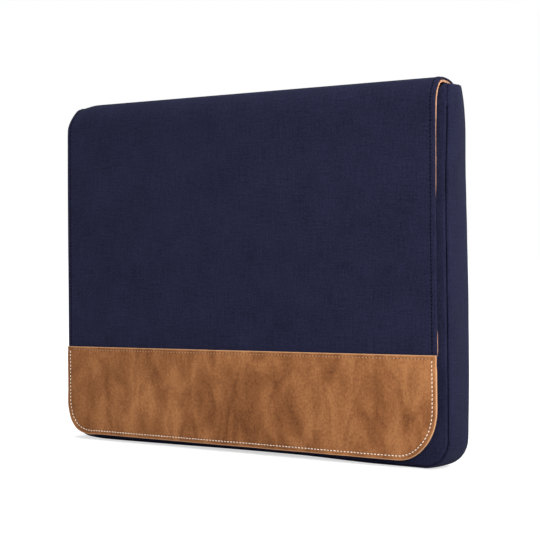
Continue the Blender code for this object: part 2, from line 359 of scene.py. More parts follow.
def outline_stations(with_hem):
    """(side, station, drop) round the gusset, down its left, along the floor and up its right. A station is
    (kind, value, rise). With a hem, both ends start inside it."""
    turned = hem_turn(BODY_TOP) if with_hem else []
    hem = [(("side", 0.0, height - BODY_TOP), drop) for height, drop in turned]
    sides = [(("side", share, 0.0), 0.0) for share in spread(0.014, 1.0, 0.0267)]
    arcs = [(("arc", pi / 2 * i / 14, 0.0), 0.0) for i in range(1, 14)]
    half = [(-1, *station) for station in hem + sides + arcs]
    floor = [(0, ("floor", x, 0.0), 0.0) for x in spread(-1.0, 1.0, 0.0414)]
    return half + floor + [(1, station, drop) for _, station, drop in half[::-1]]


def outline_point(side, station, corner):
    """(x, z) and the outward normal at a station on the outline with that corner."""
    kind, value, rise = station
    inner = VISUAL_HALF - corner
    if kind == "side":
        height = BODY_TOP + (corner - BODY_TOP) * value + rise
        return Vector((side * VISUAL_HALF, height)), Vector((side, 0.0))
    if kind == "arc":
        normal = Vector((side * cos(value), -sin(value)))
        return Vector((side * inner, corner)) + corner * normal, normal
    return Vector((inner * value, 0.0)), Vector((0.0, -1.0))


def swell_at(kind, value):
    """How far the gusset stands out of its seams there."""
    if kind == "arc":
        return SIDE_SWELL - (SIDE_SWELL - FLOOR_SWELL) * sin(value)
    return SIDE_SWELL if kind == "side" else FLOOR_SWELL


def across_gusset(depth, gap):
    """(reach from the front seam, inset) across the gusset: lip to lip, or between gaps beside the seams."""
    shares = spread(0.14, 0.86, 0.09)
    if gap is not None:
        return flat([gap, *(depth * share for share in shares[1:-1]), depth - gap])
    near = lip_turn()
    far = [(depth - reach, inset) for reach, inset in near[::-1]]
    return near + flat(depth * share for share in shares) + far


def gusset_sheet(name, look, node, inset=0.0, gap=None):
    """A sheet round the gusset, inset from its face. Without a gap it has lips at both seams and a hem."""
    points, uvs, faces, edges = [], [], [], []
    along, before = 0.0, None
    stations = outline_stations(gap is None)
    for side, station, drop in stations:
        near, near_normal = outline_point(side, station, FRONT_CORNER)
        far, far_normal = outline_point(side, station, BACK_CORNER)
        depth = back_y(near.y) - FRONT_Y - FRONT_ROUND
        centre = (near + far) / 2 - near_normal * drop
        along += (centre - before).length if before is not None else 0.0
        before = centre
        spots = across_gusset(depth, gap)
        for reach, lip in spots:
            share = reach / depth
            normal = near_normal.lerp(far_normal, share).normalized()
            bulge = sin(pi * share)
            pucker = 0.00035 * ripple(along, reach, 0.035, 3) + 0.00022 * ripple(along, reach, 0.012, 4)
            pucker *= (1 - ease(0.3, 1.0, abs(normal.y))) * bulge ** 0.5
            out = swell_at(*station[:2]) * bulge + pucker - inset - lip - drop
            spot = near.lerp(far, share) + normal * out
            points.append(settled(spot.x, FRONT_Y + FRONT_ROUND + reach, spot.y))
            uvs.append((along + 1.0, reach + 1.0))
            edges.append(min(reach, depth - reach))
    width = len(spots)
    for i in range(len(stations) - 1):
        for j in range(width - 1):
            corner = i * width + j
            faces.append((corner, corner + 1, corner + width + 1, corner + width))
    thickness, material, slot = look
    obj = add_mesh(name, points, faces, uvs, edges)
    obj.data.materials.append(material)
    return finish_piece(thicken(obj, thickness), slot, node)


# -------- the flap's surface

def roll_point(turn):
    """A point (y, z) on the fold's outer surface: turn 0 is the crown, pi / 2 the top of the face."""
    deep, high = (CROWN_Y - FLAP_Y, FRONT_ROLL_HEIGHT) if turn > 0 else (BACK_ROLL_DEPTH, BACK_ROLL_HEIGHT)
    return CROWN_Y - deep * sin(turn), FOLD_TOP - high * (1 - cos(turn))


def flap_profile():
    """The flap's outer line from the tail's lower edge, over the mouth, down to its own lower edge."""
    out = BACK_AXIS.y - back_y(BODY_TOP)
    tail = [(back_y(z) + out, z) for z in spread(TAIL_LOW, BODY_TOP - 0.001, 0.001)]
    fold = [roll_point(turn) for turn in spread(-SEAT_TURN * 0.95, pi / 2, 0.03)]
    face = [(FLAP_Y, z) for z in spread(FOLD_TOP - FRONT_ROLL_HEIGHT - 0.001, FLAP_LOW, 0.001)]
    raw = np.array(tail + fold + face)
    length = np.concatenate([[0], np.cumsum(np.hypot(*np.diff(raw, axis=0).T))])
    even = np.arange(0, length[-1], 0.0005)
    line = np.column_stack([np.interp(even, length, raw[:, k]) for k in (0, 1)])
    window = np.exp(-np.linspace(-2, 2, 9) ** 2)
    padded = np.vstack([2 * line[0] - line[4:0:-1], line, 2 * line[-1] - line[-2:-6:-1]])
    line = np.column_stack([np.convolve(padded[:, k], window / window.sum(), "valid") for k in (0, 1)])
    tangent = np.gradient(line, axis=0)
    tangent /= np.linalg.norm(tangent, axis=1)[:, None]
    return even, line, np.column_stack([tangent[:, 1], -tangent[:, 0]])


ALONG, LINE, OUT = flap_profile()
FLAP_END = ALONG[-1]


def along_where(y=None, z=None):
    """How far along the profile the crown passes y, or the face passes height z."""
    if y is not None:
        near = np.where(LINE[:, 1] > BODY_TOP + 0.001)[0]
        return ALONG[near[np.argmin(abs(LINE[near, 0] - y))]]
    near = np.where(LINE[:, 0] < CROWN_Y)[0]
    return ALONG[near[np.argmin(abs(LINE[near, 1] - z))]]


SEAT_ALONG = ALONG[np.argmin(np.hypot(LINE[:, 0] - BACK_AXIS.y, LINE[:, 1] - BACK_AXIS.z))]
SPLIT_ALONG = along_where(y=0.0)
ROLL_END_ALONG = along_where(z=FOLD_TOP - FRONT_ROLL_HEIGHT)


def flap_point(x, along, depth=0.0):
    """A point of the flap, depth inside its outer face, with the waves and the small skew of worn cloth."""
    y, z = (float(np.interp(along, ALONG, LINE[:, k])) for k in (0, 1))
    out_y, out_z = (float(np.interp(along, ALONG, OUT[:, k])) for k in (0, 1))
    up = max(FLAP_END - along, 0.0)
    side = x / HALF_FLAP
    face = ease(ROLL_END_ALONG - 0.02, ROLL_END_ALONG + 0.05, along)
    low = 1 - ease(0.0, 0.20, up)
    skew = float(np.interp(up, SKEW_HEIGHTS, SKEW))
    lift = FLAP_LIFT * (1 - ease(0.10, 0.16, up))
    wave = 0.00035 * ripple(x, up, 0.075, 5) + 0.00025 * ripple(x, up * 0.4, 0.03, 6) * (0.4 + 0.6 * low)
    hem = 0.00045 * ripple(x, 0.0, 0.022, 8) * (1 - ease(0.0, 0.022, up))
    point = Vector((
        x + 0.0008 * low * face * side,
        y - out_y * depth + face * (0.0010 * low + wave + hem),
        z - out_z * depth + face * (skew * side + lift),
    ))
    wide, high = FLAP_CORNER
    across, down = max(0.0, wide - HALF_FLAP - x) / wide, max(0.0, 1 - up / high)
    pushed = FLAP_CORNER_PUSH * (2 * across * down) ** 1.3
    before_crown = 1 - ease(CROWN_Y, BACK_AXIS.y - 0.002, y)
    worn = (1 - ease(0.0, 0.024, x + HALF_FLAP)) * ease(0.236, FOLD_TOP - 0.001, z) * before_crown
    return point + FLAP_WORN * worn - Vector((0.66, 0, 0.75)) * pushed


def flap_place(depth):
    return lambda x, height, inset, drop: flap_point(x, FLAP_END - height, depth + drop)


def flap_rows(step=0.006):
    """Rows from the split near the crown down to the flap's round corners, closer together on the roll."""
    top, roll = FLAP_END - SPLIT_ALONG, FLAP_END - ROLL_END_ALONG
    heights = [top, top - 0.00005]
    heights += [height for height in spread(top, roll, 0.0011) if height < top - 0.0003]
    heights += [height for height in spread(roll, FLAP_CORNER[1], step) if height < heights[-1] - 0.0003]
    return flat(heights)


def strip_rows(start, end):
    """Rows from one point along the profile to another, with a fine first and last row."""
    heights = [FLAP_END - along for along in spread(start, end, 0.0011)]
    first, last = heights[0], heights[-1]
    return flat([first, first - 0.0003, *heights[1:-1], last + 0.00005, last])


def turned_rings():
    """Rings (inset, drop) of an edge that is turned under."""
    turns = [TURNED_END * (1 - i / 6) for i in range(7)]
    turned = [(TURNED_EDGE * (1 - sin(turn)), TURNED_EDGE * (1 - cos(turn))) for turn in turns]
    return turned + flat((0.0016, 0.0022, 0.0034, 0.0046, 0.007, 0.012))


def cut_rings(inset):
    """Rings (inset, drop) of a cut edge, whose corner is only just rounded."""
    rounded = [(inset, 0.0003), (inset + 0.0002, 0.00008)]
    return rounded + flat(inset + more for more in (0.0005, 0.0016, 0.004, 0.010))


# -------- materials

class Nodes:
    """A material's node tree, built with short calls."""

    def __init__(self, name):
        self.material = bpy.data.materials.new(name)
        self.material.use_nodes = True
        self.tree = self.material.node_tree
        self.shader = self.tree.nodes["Principled BSDF"]

    def link(self, value, socket):
        if isinstance(value, bpy.types.NodeSocket):
            self.tree.links.new(value, socket)
        else:
            socket.default_value = value

    def math(self, operation, a, b=None, c=None):
        node = self.tree.nodes.new("ShaderNodeMath")
        node.operation = operation
        for value, socket in zip((a, b, c), node.inputs):
            if value is not None:
                self.link(value, socket)
        return node.outputs[0]

    def cloth(self, scale=(1, 1, 1)):
        """Metres along the cloth, scaled."""
        source = self.tree.nodes.new("ShaderNodeUVMap")
        source.uv_map = "Cloth"
        mapping = self.tree.nodes.new("ShaderNodeMapping")
        mapping.inputs["Scale"].default_value = scale
        self.tree.links.new(source.outputs["UV"], mapping.inputs["Vector"])
        return mapping.outputs[0]

    def noise(self, vector, scale, detail=2.0, roughness=0.5, distortion=0.0):
        node = self.tree.nodes.new("ShaderNodeTexNoise")
        self.tree.links.new(vector, node.inputs["Vector"])
        settings = {"Scale": scale, "Detail": detail, "Roughness": roughness, "Distortion": distortion}
        for name, value in settings.items():
            node.inputs[name].default_value = value
        return node.outputs[0]

    def ramp(self, value, *stops):
        node = self.tree.nodes.new("ShaderNodeValToRGB")
        self.link(value, node.inputs[0])
        elements = node.color_ramp.elements
        while len(elements) < len(stops):
            elements.new(0.5)
        for element, (place, colour) in zip(elements, stops):
            element.position = place
            element.color = (*colour, 1) if isinstance(colour, tuple) else (colour, colour, colour, 1)
        return node.outputs[0]

    def mix(self, share, a, b, blend="MIX"):
        node = self.tree.nodes.new("ShaderNodeMix")
        node.data_type = "RGBA"
        node.blend_type = blend
        self.link(share, node.inputs[0])
        self.link(a if isinstance(a, bpy.types.NodeSocket) else (*a, 1), node.inputs[6])
        self.link(b if isinstance(b, bpy.types.NodeSocket) else (*b, 1), node.inputs[7])
        return node.outputs[2]

    def attribute(self, name):
        node = self.tree.nodes.new("ShaderNodeAttribute")
        node.attribute_name = name
        return node.outputs["Fac"]

    def bump(self, height, distance, strength=1.0):
        node = self.tree.nodes.new("ShaderNodeBump")
        node.inputs["Strength"].default_value = strength
        node.inputs["Distance"].default_value = distance
        self.tree.links.new(height, node.inputs["Height"])
        return node.outputs[0]

    def finish(self, colour, roughness, normal=None, sheen=0.0, sheen_tint=(1, 1, 1), specular=0.3):
        colour = colour if isinstance(colour, bpy.types.NodeSocket) else (*colour, 1)
        self.link(colour, self.shader.inputs["Base Color"])
        self.link(roughness, self.shader.inputs["Roughness"])
        self.shader.inputs["Sheen Weight"].default_value = sheen
        self.shader.inputs["Sheen Roughness"].default_value = 0.5
        self.shader.inputs["Sheen Tint"].default_value = (*sheen_tint, 1)
        self.shader.inputs["Specular IOR Level"].default_value = specular
        if normal is not None:
            self.tree.links.new(normal, self.shader.inputs["Normal"])
        return self.material

    def weave(self, pitch):
        """A plain weave's height: warp over weft and weft over warp in turn."""
        across, up = (self.tree.nodes.new("ShaderNodeSeparateXYZ").outputs[:2])
        self.tree.links.new(self.cloth((pi / pitch, pi / pitch, 1)), across.node.inputs[0])
        warp, weft = self.math("SINE", across), self.math("SINE", up)
        over = self.math("GREATER_THAN", self.math("MULTIPLY", warp, weft), 0.0)
        warp, weft = self.math("ABSOLUTE", warp), self.math("ABSOLUTE", weft)
        warp_high = self.math("MULTIPLY", warp, self.math("MULTIPLY_ADD", weft, 0.45, 0.55))
        weft_high = self.math("MULTIPLY", weft, self.math("MULTIPLY_ADD", warp, 0.45, 0.55))
        higher = self.math("MULTIPLY", over, self.math("SUBTRACT", warp_high, weft_high))
        return self.math("ADD", weft_high, higher)


def canvas_material(name, dark, light, pitch=0.00055):
    n = Nodes(name)
    weave = n.weave(pitch)
    slub_across = n.noise(n.cloth((60, 1500, 1)), 1.0, 1.0)
    slub_up = n.noise(n.cloth((1500, 60, 1)), 1.0, 1.0)
    slubs = n.math("MULTIPLY_ADD", slub_across, 0.5, n.math("MULTIPLY", slub_up, 0.5))
    cloudy = n.noise(n.cloth(), 28.0, 4.0, 0.6)
    lively = n.noise(n.cloth(), 420.0, 2.0, 0.6)
    coarse = n.noise(n.cloth(), 760.0, 1.0, 0.5)
    tone = n.math("MULTIPLY_ADD", cloudy, 0.22, n.math("MULTIPLY", coarse, 0.42))
    tone = n.math("MULTIPLY_ADD", slubs, 0.50, tone)
    tone = n.math("MULTIPLY_ADD", lively, 0.12, tone)
    colour = n.ramp(tone, (0.47, dark), (0.76, light))
    # painted shade: the weave's low places between the threads are darkened towards a third of the dark tone
    colour = n.mix(n.math("MULTIPLY_ADD", weave, -0.55, 0.55), colour, tuple(c * 0.35 for c in dark))
    height = n.math("MULTIPLY_ADD", slubs, 0.6, weave)
    return n.finish(colour, n.math("MULTIPLY_ADD", lively, 0.15, 0.76), n.bump(height, 0.00012, 0.7), 0.03,
                    (0.5, 0.55, 1.0), 0.09)


def band_material():
    """Brushed leather: a fine nap, drifts where the nap lies the other way, and a painted highlight along its
    edge.
    """
    n = Nodes("brushed_leather")
    drift = n.noise(n.cloth((1.0, 0.42, 1)), 62.0, 3.0, 0.55, 0.8)
    blotch = n.noise(n.cloth((1, 0.8, 1)), 19.0, 3.0, 0.6, 0.4)
    nap = n.noise(n.cloth((1, 0.8, 1)), 620.0, 3.0, 0.75)
    pores = n.noise(n.cloth(), 3200.0, 2.0, 0.6)
    tone = n.math("MULTIPLY_ADD", blotch, 0.24, n.math("MULTIPLY", nap, 0.36))
    tone = n.math("MULTIPLY_ADD", drift, 0.46, tone)
    shades = (0.39, (0.118, 0.039, 0.0125)), (0.53, (0.236, 0.090, 0.031)), (0.68, (0.390, 0.168, 0.064))
    colour = n.ramp(tone, *shades)
    # painted highlight: within about a millimetre of its edge the leather is lightened, as its pressed edge
    # catches the light
    edge = n.ramp(n.math("MULTIPLY", n.attribute("from_edge"), 400.0), (0.10, 1.0), (0.40, 0.0))
    colour = n.mix(n.math("MULTIPLY", edge, 0.80), colour, (0.56, 0.31, 0.165))
    height = n.math("MULTIPLY_ADD", nap, 0.8, n.math("MULTIPLY", pores, 0.4))
    return n.finish(colour, n.math("MULTIPLY_ADD", nap, 0.15, 0.74), n.bump(height, 0.00022, 0.6), 0.07,
                    (1.0, 0.70, 0.45), 0.09)


def suede_material():
    n = Nodes("suede_lining")
    nap = n.noise(n.cloth(), 1100.0, 3.0, 0.7)
    drift = n.noise(n.cloth((1, 0.6, 1)), 40.0, 3.0, 0.6, 0.5)
    tone = n.math("MULTIPLY_ADD", drift, 0.6, n.math("MULTIPLY", nap, 0.4))
    colour = n.ramp(tone, (0.22, (0.30, 0.125, 0.055)), (0.80, (0.47, 0.22, 0.105)))
    # painted highlight: the suede is lightened towards its edges, which catch the light
    edge = n.ramp(n.math("MULTIPLY", n.attribute("from_edge"), 600.0), (0.10, 1.0), (0.60, 0.0))
    colour = n.mix(n.math("MULTIPLY", edge, 0.85), colour, (0.56, 0.31, 0.19))
    return n.finish(colour, 0.9, n.bump(nap, 0.0002, 0.5), 0.12, (1.0, 0.8, 0.6), 0.10)


def pile_material(name, dark, light, scale=1500.0):
    """Plush or loop tape: short soft pile."""
    n = Nodes(name)
    pile = n.noise(n.cloth(), scale, 2.0, 0.7)
    drift = n.noise(n.cloth(), 60.0, 3.0, 0.6, 0.8)
    tone = n.math("MULTIPLY_ADD", drift, 0.5, n.math("MULTIPLY", pile, 0.5))
    colour = n.ramp(tone, (0.35, dark), (0.68, light))
    return n.finish(colour, 0.95, n.bump(pile, 0.0004, 0.8), 0.5, (0.7, 0.75, 1.0), 0.1)


def hook_material():
    n = Nodes("hook_tape")
    dots = n.weave(0.0011)
    peak = n.math("POWER", dots, 3.0)
    colour = n.ramp(peak, (0.1, (0.010, 0.010, 0.013)), (0.8, (0.055, 0.055, 0.062)))
    return n.finish(colour, 0.45, n.bump(peak, 0.0005, 1.0), specular=0.5)


def padding_material(name, roughness, dark, light, *grain):
    """Fleece or foam, with the noise settings of its grain. dark and light are stops (place, colour)."""
    n = Nodes(name)
    grain = n.noise(n.cloth(), *grain)
    return n.finish(n.ramp(grain, dark, light), roughness, n.bump(grain, 0.0003))


def thread_material(name, dark, light, specular=0.3):
    """Twisted thread: fine slanting strands along each stitch."""
    n = Nodes(name)
    strands = n.noise(n.cloth((2500, 2500, 1)), 1.0, 2.0)
    colour = n.ramp(strands, (0.3, dark), (0.7, light))
    return n.finish(colour, 0.65, n.bump(strands, 0.00008), specular=specular)


CANVAS_CLOTH = canvas_material("navy_canvas", (0.0052, 0.0057, 0.0180), (0.0200, 0.0214, 0.0565))
BAND_LEATHER = band_material()
SUEDE_CLOTH = suede_material()
PLUSH_CLOTH = pile_material("navy_plush", (0.012, 0.014, 0.026), (0.035, 0.040, 0.065))
LOOP_TAPE = pile_material("loop_tape", (0.010, 0.010, 0.013), (0.040, 0.040, 0.046), 2200.0)
HOOK_TAPE = hook_material()
FLEECE_SHADES = (0.3, (0.55, 0.50, 0.42)), (0.7, (0.75, 0.70, 0.62))
FOAM_SHADES = (0.35, (0.02, 0.02, 0.024)), (0.65, (0.06, 0.06, 0.065))
FLEECE_CLOTH = padding_material("fleece", 0.95, *FLEECE_SHADES, 700.0, 4.0, 0.7, 1.0)
FOAM_SHEET = padding_material("foam", 0.9, *FOAM_SHADES, 1300.0, 2.0, 0.5)
STAY_CLOTH = canvas_material("stay_twill", (0.012, 0.012, 0.014), (0.035, 0.035, 0.040), 0.0009)
CREAM_THREAD = thread_material("cream_thread", (0.62, 0.50, 0.38), (0.88, 0.78, 0.66))
TAN_THREAD = thread_material("tan_thread", (0.30, 0.15, 0.070), (0.46, 0.26, 0.14))
NAVY_THREAD = thread_material("navy_thread", (0.0030, 0.0034, 0.0085), (0.0080, 0.0088, 0.0200), 0.06)
# painted shade: near-black discs laid at the needle holes stand for the shade inside them
PAINTED_HOLE_SHADE = thread_material("painted_hole_shade", (0.012, 0.006, 0.004), (0.030, 0.014, 0.007))
NAVY_PAINTED_HOLE_SHADE = thread_material("navy_painted_hole_shade", (0.0006, 0.0006, 0.0012), (0.0015, 0.0015, 0.0030), 0.0)

# (thickness, material, slot) of a sheet
CANVAS_LOOK = (CANVAS, CANVAS_CLOTH, "canvas")
PLUSH_LOOK = (PLUSH, PLUSH_CLOTH, "plush_lining")
FLEECE_LOOK = (FLEECE, FLEECE_CLOTH, "interlining")
SUEDE_LOOK = (SUEDE, SUEDE_CLOTH, "flap_lining")
WALL_FOAM_LOOK = (WALL_FOAM, FOAM_SHEET, "foam")
GUSSET_FOAM_LOOK = (GUSSET_FOAM, FOAM_SHEET, "foam")
STAY_TAPE_LOOK = (STAY_TAPE, STAY_CLOTH, "stay_tape")
BAND_LOOK = (BAND, BAND_LEATHER, "band_leather")

# (thread, painted shade for its needle holes, slot) of a stitch row
CREAM = (CREAM_THREAD, PAINTED_HOLE_SHADE, "cream_thread")
TAN = (TAN_THREAD, PAINTED_HOLE_SHADE, "tan_thread")
NAVY = (NAVY_THREAD, NAVY_PAINTED_HOLE_SHADE, "navy_thread")


# -------- stitching

STITCH_SIDES = 6
STITCH_RINGS = (-1.0, -0.8, -0.35, 0.35, 0.8, 1.0)
STITCH_SINK = 0.00006
STITCH_SLANT = 0.3


def stitch_row(name, line, thread, *nodes, pitch=0.0027, length=0.0019, radius=0.00030, hole_shade_radius=None):
    """Stitches along a line of (point, outward normal) pairs, each a short rounded bar whose ends go into the
    cloth. The last argument is the radius of a dark disc of painted shade laid at the needle hole after each."""
    points, normals = (np.array([tuple(pair[k]) for pair in line]) for k in (0, 1))
    run = np.concatenate([[0], np.cumsum(np.linalg.norm(np.diff(points, axis=0), axis=1))])
    count = int(run[-1] / pitch)
    first = (run[-1] - count * pitch) / 2 + pitch / 2
    verts, faces, uvs, marks = [], [], [], []

    def at(values, where):
        return np.array([np.interp(where, run, values[:, axis]) for axis in range(3)])

    def join_rings(start, rings, mark):
        """Faces between rings of points from start on, and over the last ring."""
        sides = range(STITCH_SIDES)
        for ring in range(rings - 1):
            for j in sides:
                low = start + ring * STITCH_SIDES
                a, b = low + j, low + (j + 1) % STITCH_SIDES
                faces.append((a, b, b + STITCH_SIDES, a + STITCH_SIDES))
        faces.append(tuple(start + (rings - 1) * STITCH_SIDES + j for j in sides))
        marks.extend([mark] * (len(faces) - len(marks)))

    turns = [2 * pi * j / STITCH_SIDES for j in range(STITCH_SIDES)]
    for k in range(count):
        middle = first + k * pitch
        before, centre, after = (at(points, middle + shift * length / 2) for shift in (-1, 0, 1))
        tangent = (after - before) / np.linalg.norm(after - before)
        up = at(normals, middle)
        up = up - tangent * (up @ tangent)
        up /= np.linalg.norm(up)
        across = np.cross(tangent, up)
        start = len(verts)
        for ring in STITCH_RINGS:
            thick = radius * (1.0 - 0.62 * ring ** 6)
            lift = radius * 0.72 * (1 - ring ** 4) - STITCH_SINK - radius * 0.35 * ring ** 4
            core = centre + tangent * ring * length / 2 + up * lift + across * ring * STITCH_SLANT * radius
            for turn in turns:
                verts.append(core + thick * (cos(turn) * across + 0.8 * sin(turn) * up))
                uvs.append((middle + ring * length / 2 + 1.0, thick * turn / 3 + 1.0))
        faces.append(tuple(start + j for j in range(STITCH_SIDES))[::-1])
        join_rings(start, len(STITCH_RINGS), 0)
        if not hole_shade_radius:
            continue
        # painted shade: a dark, slightly domed disc on the cloth at the needle hole
        where = centre + tangent * pitch / 2 + up * 0.00002
        start = len(verts)
        for wide, high in ((hole_shade_radius, 0.0), (hole_shade_radius * 0.6, 0.00005)):
            for turn in turns:
                verts.append(where + wide * (cos(turn) * across + sin(turn) * tangent) + up * high)
                uvs.append((middle + 1.0, wide + 1.0))
        join_rings(start, 2, 1)
    material, hole_shade, slot = thread
    obj = add_mesh(name, verts, faces, uvs)
    obj.data.materials.append(material)
    if hole_shade_radius:
        obj.data.materials.append(hole_shade)
        obj.data.polygons.foreach_set("material_index", marks)
    return finish_piece(obj, slot, *nodes)


def line_on(place, spots):
    """Points and outward normals along spots (x, height) of a surface."""
    line = []
    for x, height in spots:
        point = place(x, height, 0.02, 0.0)
        line.append((point, (place(x, height, 0.02, -1e-4) - point).normalized()))
    return line


def tip_path(half_width, corner, inset, top, step=0.001):
    """Spots down one side, round the corners and up the other side of a sheet, inset from its edge."""
    wide, high = corner
    half = [(-(half_width - inset), height) for height in spread(top, high, step)]
    for turn in spread(0.0, pi / 2, step / high):
        half.append((-(half_width - wide) - (wide - inset) * cos(turn), high - (high - inset) * sin(turn)))
    floor = [(x, inset) for x in spread(half[-1][0], -half[-1][0], step)[1:-1]]
    return half + floor + [(-x, height) for x, height in half[::-1]]


# -------- the body's pieces

FOAM_RINGS = [(0.0032, 0.0002), (0.0045, 0.0), (0.010, 0.0)]
PLUSH_RINGS = [(0.0052, 0.0), (0.0060, 0.0), (0.012, 0.0)]
TAPE_RINGS = [(0.0055, 0.0), (0.0065, 0.0)]


def build_wall(side, place, radius, canvas_top, foam_top, plush_heights, plush_length):
    """The canvas, foam and plush of the front or the back, on one outline with round lower corners."""
    corner, flip = (radius, radius), side == "back"
    grid = sheet_grid(VISUAL_HALF, hem_rows(canvas_top, radius), lip_rings(), 64, corner)
    canvas = laid_sheet(f"{side}_canvas", grid, place(0.0), CANVAS_LOOK, f"{side}_panel", flip=flip)
    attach(canvas, "body")

    grid = sheet_grid(VISUAL_HALF, flat(spread(foam_top, radius, 0.012)), FOAM_RINGS, 32, corner)
    foam = laid_sheet(f"{side}_foam_pad", grid, place(FOAM_DEPTH), WALL_FOAM_LOOK, f"{side}_foam", flip=flip)
    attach(foam, "body")

    grid = sheet_grid(VISUAL_HALF, flat(plush_heights), PLUSH_RINGS, 40, corner)
    place = place(WALL_PLUSH_DEPTH)
    plush = laid_sheet(f"{side}_plush", grid, place, PLUSH_LOOK, f"{side}_lining", flip=flip)
    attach(plush, "body")


def build_front():
    plush_heights = spread(FRONT_TOP - 0.0065, FRONT_CORNER, 0.008)
    build_wall("front", front_place, FRONT_CORNER, FRONT_TOP, LINING_TOP - 0.002, plush_heights, LINING_TOP)
    spots = [(x, FRONT_TOP - HEM_ROW) for x in spread(-HALF_BODY + 0.006, HALF_BODY - 0.006, 0.002)]
    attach(stitch_row("front_hem_stitches", line_on(front_place(0.0), spots), NAVY), "body")


def build_back():
    plush_heights = spread(BODY_TOP - 0.0085, BACK_CORNER, 0.006)
    build_wall("back", back_place, BACK_CORNER, BODY_TOP, LINING_TOP - 0.001, plush_heights, BODY_TOP)
    rows = flat(spread(BODY_TOP - 0.0012, LINING_TOP - 0.0006, 0.001))
    grid = sheet_grid(VISUAL_HALF, rows, TAPE_RINGS, 40)
    place = back_place(STAY_TAPE_DEPTH)
    tape = laid_sheet("back_edge_tape", grid, place, STAY_TAPE_LOOK, "back_stay_tape", flip=True)
    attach(tape, "body")


def build_gusset():
    depth = BACK_FULLEST - FRONT_Y
    shell = gusset_sheet("gusset_shell", CANVAS_LOOK, "gusset_canvas")
    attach(shell, "body")

    foam = gusset_sheet("gusset_foam_pad", GUSSET_FOAM_LOOK, "gusset_foam", FOAM_DEPTH, 0.0050)
    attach(foam, "body")

    plush = gusset_sheet("gusset_plush", PLUSH_LOOK, "gusset_lining", GUSSET_PLUSH_DEPTH, 0.0052)
    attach(plush, "body")

    height = BODY_TOP - HEM_ROW
    depth = back_y(height) - FRONT_Y
    for side, hand in ((-1, "left"), (1, "right")):
        line = []
        for reach in spread(LIP_REACH + 0.001, depth - LIP_REACH - 0.001, 0.001):
            x = side * (VISUAL_HALF + SIDE_SWELL * sin(pi * reach / depth) + 0.0001)
            line.append((Vector((x, FRONT_Y + reach, height)), Vector((side, 0, 0))))
        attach(stitch_row(f"gusset_hem_stitches_{hand}", line, NAVY), "body")


# -------- the flap's pieces

def blend_rear(obj):
    """Bakes the placement of a piece of the fold's rear half into its mesh."""
    tuple(flap_point(0, SEAT_ALONG + 0.0085))
    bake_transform(obj)


def blend_front(obj):
    """Bakes the placement of a piece of the fold's front half or of the face into its mesh."""
    start, end = flap_point(0, along_where(y=-0.0095)), flap_point(0, ROLL_END_ALONG + 0.001)
    tuple(start)
    tuple(end)
    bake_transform(obj)


def add_rear(name, look, nodes, start, rings, columns, place, width):
    """A layer's rear strip, from start up to the split near the crown."""
    grid = sheet_grid(HALF_FLAP, strip_rows(start, SPLIT_ALONG), rings, columns)
    rear = laid_sheet(name, grid, place, look, *nodes)
    blend_rear(rear)


def add_front(name, look, node, rows, rings, columns, place, width):
    """A layer's front sheet, from the split on down the face."""
    grid = sheet_grid(HALF_FLAP, rows, rings, columns, FLAP_CORNER)
    front = laid_sheet(name, grid, place, look, node)
    blend_front(front)


def build_flap_layers():
    seat, width = SEAT_ALONG + 0.0006, 2 * HALF_FLAP
    rows, edge = flap_rows(), turned_rings()
    nodes = ["flap_tail", "fold_canvas"]
    add_rear("flap_rear_canvas", CANVAS_LOOK, nodes, 0.0, edge, 56, flap_place(0.0), width)
    place, rests_on = canvas_place, "flap_rear_canvas"
    add_front("flap_front_canvas", CANVAS_LOOK, "flap_canvas", rows, edge, 72, place, width)

    narrow, edge, place = width - 0.008, cut_rings(0.0022), flap_place(FLEECE_DEPTH)
    nodes, coarse = ["fold_interlining"], flap_rows(0.010)
    add_rear("fold_fleece", FLEECE_LOOK, nodes, seat, edge, 40, place, narrow)
    rests_on = "flap_front_canvas"
    add_front("flap_fleece", FLEECE_LOOK, "flap_interlining", coarse, edge, 40, place, narrow)

    nodes, edge = ["fold_lining"], cut_rings(0.0)
    add_rear("fold_suede", SUEDE_LOOK, nodes, seat, edge, 56, suede_place, width)
    add_front("flap_suede", SUEDE_LOOK, "flap_lining", rows, edge, 72, suede_place, width)


def drawn_in(x, height, inset, amount):
    """A spot near the flap's edge, moved away from the edge by that amount."""
    amount *= 1 - ease(0.0, 0.016, inset)
    beside = ease(0.0, 0.020, height)
    return x - (amount * beside if x > 0 else -amount * beside), height + amount * (1 - beside)


def suede_place(x, height, inset, drop):
    """The suede's edge shows along the top and just above the band, and draws in elsewhere."""
    above = 0.6 * ease(0.155, 0.185, height) + 0.4 * ease(0.215, 0.240, height)
    shown = max(above, 0.6 * ease(0.066, 0.071, height) * (1 - ease(0.080, 0.095, height)))
    x, height = drawn_in(x, height, inset, 0.0012 - 0.0014 * shown)
    return flap_point(x, FLAP_END - height, SUEDE_DEPTH + drop)


def canvas_place(x, height, inset, drop):
    """The canvas draws in behind the band's edge."""
    x, height = drawn_in(x, height, inset, 0.0009 * (1 - ease(0.060, 0.067, height)))
    return flap_point(x, FLAP_END - height, drop)


def groove(offset):
    """How far the leather is pressed in at that distance from a stitch row, as a share of the depth on it."""
    return exp(-(offset / 0.0007) ** 2)


def band_place(x, height, inset, drop):
    """The band lies on the canvas, pressed in along its stitching and a little at its edges."""
    down = BAND_HEIGHT - height
    row = 0.00022 * groove(inset - BAND_ROW) + 0.00016 * groove(down - BAND_TOP_ROW)
    edge = 0.00035 * (1 - ease(0.0, 0.0022, inset)) + 0.00028 * (1 - ease(0.0, 0.0008, down))
    puff = 0.00030 * ease(BAND_ROW, 0.014, inset) * (0.4 + ripple(x, height, 0.016, 9))
    pucker = 0.00022 * ripple(x, height, 0.007, 10) * (1 - ease(0.004, 0.012, inset))
    narrow = 0.0006 * (1 - ease(-HALF_FLAP, -HALF_FLAP + 0.02, x))
    return flap_point(x + narrow, FLAP_END - height, BAND_OUT + drop + row + edge - puff + pucker)


